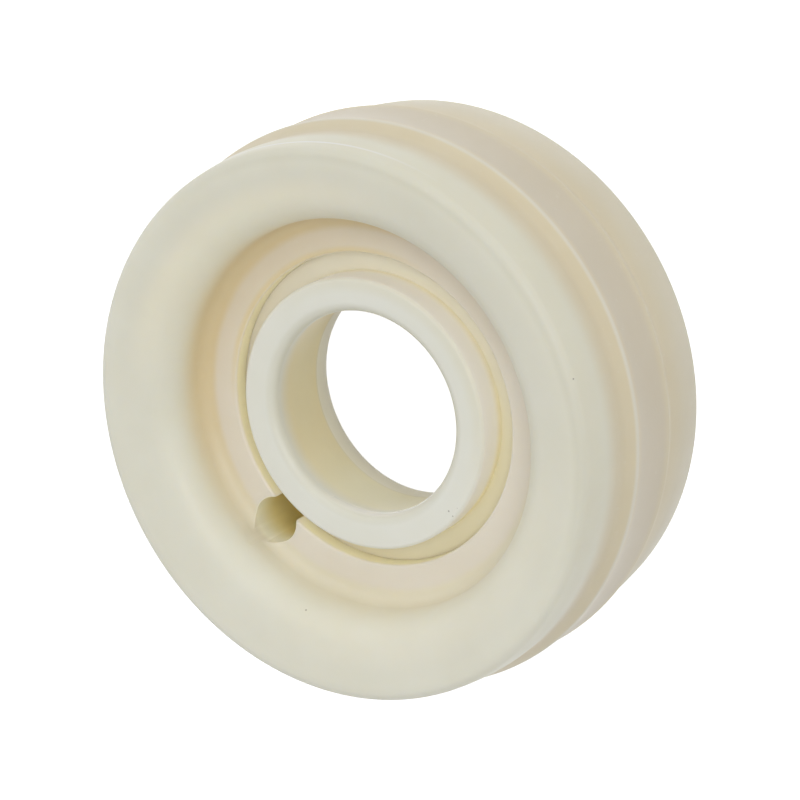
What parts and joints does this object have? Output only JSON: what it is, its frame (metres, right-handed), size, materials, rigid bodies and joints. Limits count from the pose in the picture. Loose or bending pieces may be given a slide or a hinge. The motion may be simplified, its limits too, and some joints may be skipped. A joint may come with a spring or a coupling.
{
  "type": "idler pulley",
  "caption": "Plastic idler pulley with a built-in ball bearing: a still inner ring on a shaft, and a turning ring with a raised band round its running surface.",
  "frame": {"origin": "on the turning axis, at half the width of the pulley, where the balls run, which is the centre of the part's box", "axes": "+Z along the turning axis, out of the front face, the one with the filling hole; the part lies on its rear rim"},
  "size_m": [0.0544, 0.0544, 0.0218],
  "materials": {
    "pulley_plastic": "milky natural plastic, satin moulded surface",
    "inner_ring_plastic": "milky natural plastic, satin moulded surface",
    "ball_steel": "polished bearing balls"
  },
  "bodies": {
    "inner_race": {"inner_ring": "inner_ring_plastic"},
    "pulley": {"pulley_ring": "pulley_plastic"},
    "ball_row": {"ball_01": "ball_steel", "ball_02": "ball_steel", "ball_03": "ball_steel", "ball_04": "ball_steel", "ball_05": "ball_steel", "ball_06": "ball_steel", "ball_07": "ball_steel", "ball_08": "ball_steel", "ball_09": "ball_steel", "ball_10": "ball_steel", "ball_11": "ball_steel", "ball_12": "ball_steel", "ball_13": "ball_steel", "ball_14": "ball_steel", "ball_15": "ball_steel", "ball_16": "ball_steel", "ball_17": "ball_steel", "ball_18": "ball_steel", "ball_19": "ball_steel", "ball_20": "ball_steel", "ball_21": "ball_steel"}
  },
  "joints": [
    {"name": "pulley_spin", "type": "hinge", "parent": "inner_race", "child": "pulley", "pos_m": [0, 0, 0], "axis": [0, 0, 1], "continuous": true},
    {"name": "ball_row_spin", "type": "hinge", "parent": "inner_race", "child": "ball_row", "pos_m": [0, 0, 0], "axis": [0, 0, 1], "continuous": true}
  ],
  "couplings": [
    {"joint": "ball_row_spin", "follows": "pulley_spin", "ratio": 0.5709}
  ]
}
